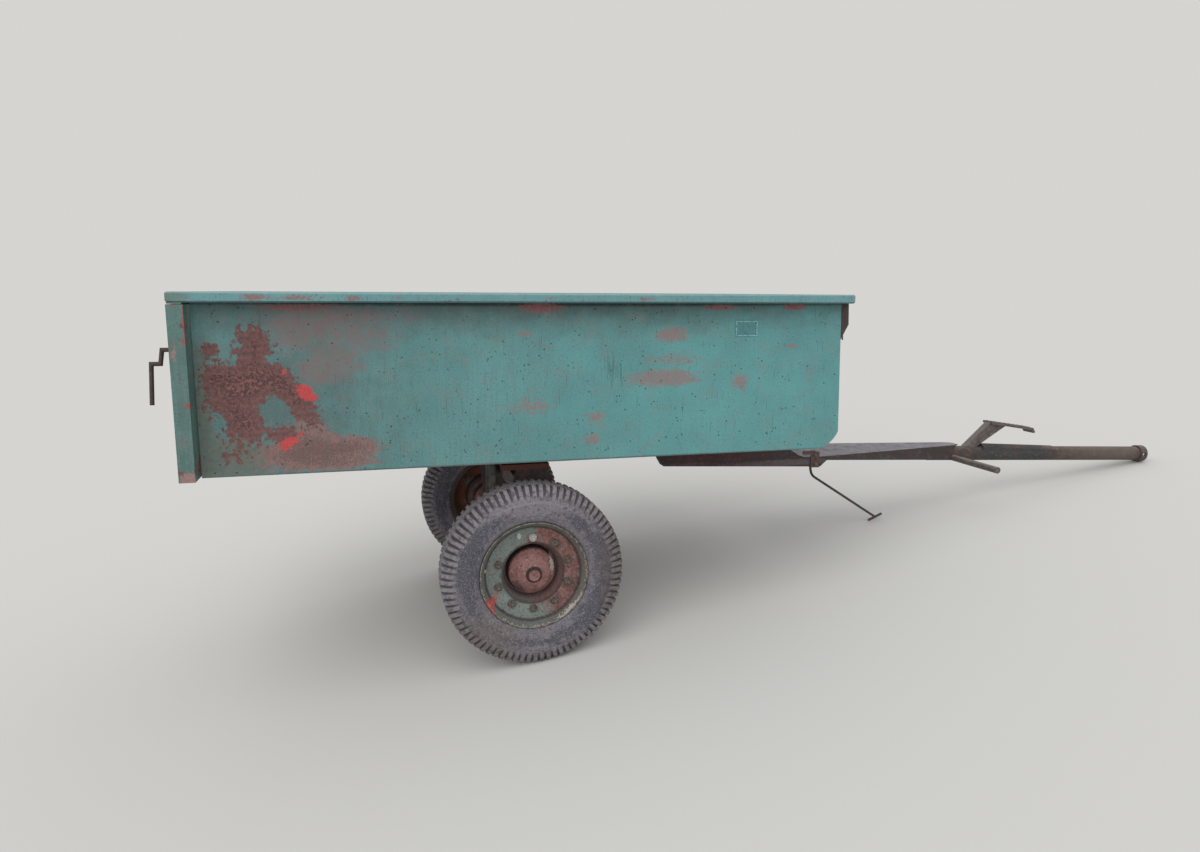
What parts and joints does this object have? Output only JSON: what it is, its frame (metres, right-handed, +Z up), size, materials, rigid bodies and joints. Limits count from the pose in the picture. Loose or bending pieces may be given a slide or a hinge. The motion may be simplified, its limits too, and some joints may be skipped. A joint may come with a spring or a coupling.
{
  "type": "single-axle tipper trailer",
  "caption": "Single-axle tipper trailer: open steel bed that tips on the chassis, top-hung tailgate, pipe drawbar with footrest, pedal and prop leg, on two lugged tyres.",
  "frame": {"origin": "centre of the footprint's bounding box, on the ground", "axes": "+X forwards to the drawbar's tip, +Y to the left side, +Z up"},
  "size_m": [3.916, 1.228, 1.2744],
  "materials": {
    "green_paint": "weathered matt",
    "underside_paint": "weathered matt",
    "red_primer": "matt primer",
    "rusty_steel": "rusted",
    "wheel_paint": "worn paint and rust",
    "hub_primer": "rusted",
    "tyre_rubber": "dusty"
  },
  "bodies": {
    "chassis": {"axle_beam": "rusty_steel", "pedestal_left": "rusty_steel", "post_left": "rusty_steel", "pedestal_right": "rusty_steel", "post_right": "rusty_steel", "bolster": "rusty_steel", "rail_left": "rusty_steel", "strap_left": "red_primer", "rail_right": "rusty_steel", "strap_right": "red_primer", "tongue": "rusty_steel", "drawbar_pipe": "rusty_steel", "pipe_collar": "rusty_steel", "pipe_saddle": "rusty_steel", "footrest": "rusty_steel", "foot_pedal": "rusty_steel", "prop_pin": "rusty_steel"},
    "bed": {"bed_tub": "green_paint", "side_panel_left": "green_paint", "corner_gusset_left": "green_paint", "side_panel_right": "green_paint", "corner_gusset_right": "green_paint", "top_rail": "green_paint", "long_bearer_left": "underside_paint", "long_bearer_right": "underside_paint", "cross_bearers": "underside_paint", "tip_bracket_left": "red_primer", "tip_bracket_right": "red_primer", "blank_plate": "green_paint", "hinge_ears_left": "rusty_steel", "hinge_ears_right": "rusty_steel"},
    "tailgate": {"tailgate_pan": "green_paint", "gate_rib_left": "green_paint", "gate_hinge_left": "rusty_steel", "gate_handle_left": "rusty_steel", "gate_rib_right": "green_paint", "gate_hinge_right": "rusty_steel", "gate_handle_right": "rusty_steel"},
    "wheel_left": {"tyre_left": "tyre_rubber", "rim_left": "wheel_paint", "hub_left": "hub_primer"},
    "wheel_right": {"tyre_right": "tyre_rubber", "rim_right": "wheel_paint", "hub_right": "hub_primer"},
    "prop": {"prop_leg": "rusty_steel"}
  },
  "joints": [
    {"name": "wheel_left_spin", "type": "hinge", "parent": "chassis", "child": "wheel_left", "pos_m": [-0.99163, 0.501, 0.2875], "axis": [0, 1, 0], "continuous": true},
    {"name": "wheel_right_spin", "type": "hinge", "parent": "chassis", "child": "wheel_right", "pos_m": [-0.99163, -0.501, 0.2875], "axis": [0, 1, 0], "continuous": true},
    {"name": "bed_tip", "type": "hinge", "parent": "chassis", "child": "bed", "pos_m": [-0.9564, 0, 0.54712], "axis": [0, -1, 0], "range_deg": [0, 40]},
    {"name": "tailgate_swing", "type": "hinge", "parent": "bed", "child": "tailgate", "pos_m": [-1.84888, 0, 1.24344], "axis": [0, 1, 0], "range_deg": [0, 100]},
    {"name": "prop_swing", "type": "hinge", "parent": "chassis", "child": "prop", "pos_m": [0.22732, 0, 0.34614], "axis": [0, -1, 0], "range_deg": [-100, 25]}
  ]
}
